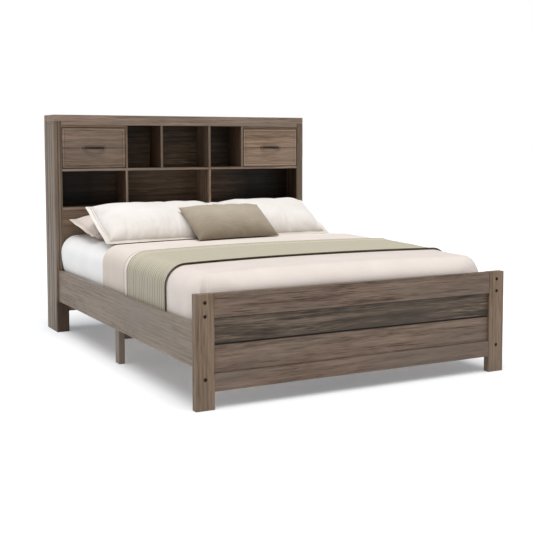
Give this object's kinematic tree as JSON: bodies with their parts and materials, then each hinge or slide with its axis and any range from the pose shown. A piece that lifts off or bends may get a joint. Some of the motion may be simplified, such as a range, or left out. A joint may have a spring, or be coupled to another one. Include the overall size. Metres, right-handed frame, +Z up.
{
  "type": "bookcase headboard bed",
  "caption": "Wooden bed whose deep headboard is a bookcase with open cubbies and two small drawers above the pillows, a low planked footboard, and a made-up mattress.",
  "frame": {"origin": "On the floor, under the middle of the bed's overall length and width.", "axes": "+Z is up. +Y runs from the footboard to the headboard. +X is to the right of someone who looks at the footboard from the foot of the bed. Left and right in node names are -X and +X."},
  "size_m": [1.68, 2.296, 1.3],
  "materials": {
    "stained_wood": "weathered grey-brown stain, matt",
    "pale_wood": "bare hardwood, sealed",
    "dark_bronze": "satin dark bronze",
    "steel_fasteners": "zinc-plated steel",
    "black_steel": "black powder coat",
    "white_sheet": "plain cotton sheet",
    "cream_duvet": "plain cotton, cream",
    "sage_throw": "fine ribbed weave, sage",
    "white_pillowcase": "plain cotton, white",
    "beige_pillowcase": "plain cotton, beige",
    "taupe_linen": "plain linen weave, taupe"
  },
  "bodies": {
    "frame": {"back_pillows": "beige_pillowcase", "beam_hangers": "black_steel", "bracket_screws": "steel_fasteners", "centre_beam": "stained_wood", "centre_leg": "stained_wood", "cross_beam": "stained_wood", "drawer_kicker_rails": "stained_wood", "drawer_runners": "pale_wood", "duvet": "cream_duvet", "footboard_bolts": "dark_bronze", "footboard_bottom_rail": "stained_wood", "footboard_lower_plank": "stained_wood", "footboard_nuts": "steel_fasteners", "footboard_post_left": "stained_wood", "footboard_post_right": "stained_wood", "footboard_top_rail": "stained_wood", "footboard_upper_plank": "stained_wood", "headboard_back_panel": "stained_wood", "headboard_cap": "stained_wood", "headboard_cross_rail": "stained_wood", "headboard_gable_left": "stained_wood", "headboard_gable_right": "stained_wood", "headboard_lower_panel": "stained_wood", "headboard_lower_shelf": "stained_wood", "headboard_middle_shelf": "stained_wood", "headboard_post_left": "stained_wood", "headboard_post_right": "stained_wood", "headboard_top_panel": "stained_wood", "lower_divider_left": "stained_wood", "lower_divider_right": "stained_wood", "lumbar_cushion": "taupe_linen", "mattress": "white_sheet", "mattress_slats": "pale_wood", "mid_leg_left": "stained_wood", "mid_leg_right": "stained_wood", "rail_brackets": "black_steel", "side_rail_left": "stained_wood", "side_rail_right": "stained_wood", "slat_cleats": "pale_wood", "throw": "sage_throw", "upper_divider_1": "stained_wood", "upper_divider_2": "stained_wood", "upper_divider_3": "stained_wood", "upper_divider_4": "stained_wood", "white_pillow_left": "white_pillowcase", "white_pillow_right": "white_pillowcase"},
    "drawer_left": {"drawer_left_front": "stained_wood", "drawer_left_side_outer": "pale_wood", "drawer_left_side_inner": "pale_wood", "drawer_left_back": "pale_wood", "drawer_left_bottom": "pale_wood", "drawer_left_handle": "dark_bronze", "drawer_left_handle_screws": "steel_fasteners"},
    "drawer_right": {"drawer_right_front": "stained_wood", "drawer_right_side_outer": "pale_wood", "drawer_right_side_inner": "pale_wood", "drawer_right_back": "pale_wood", "drawer_right_bottom": "pale_wood", "drawer_right_handle": "dark_bronze", "drawer_right_handle_screws": "steel_fasteners"}
  },
  "joints": [
    {"name": "drawer_left_slide", "type": "slide", "parent": "frame", "child": "drawer_left", "axis": [0, -1, 0], "range_m": [0, 0.15]},
    {"name": "drawer_right_slide", "type": "slide", "parent": "frame", "child": "drawer_right", "axis": [0, -1, 0], "range_m": [0, 0.15]}
  ]
}
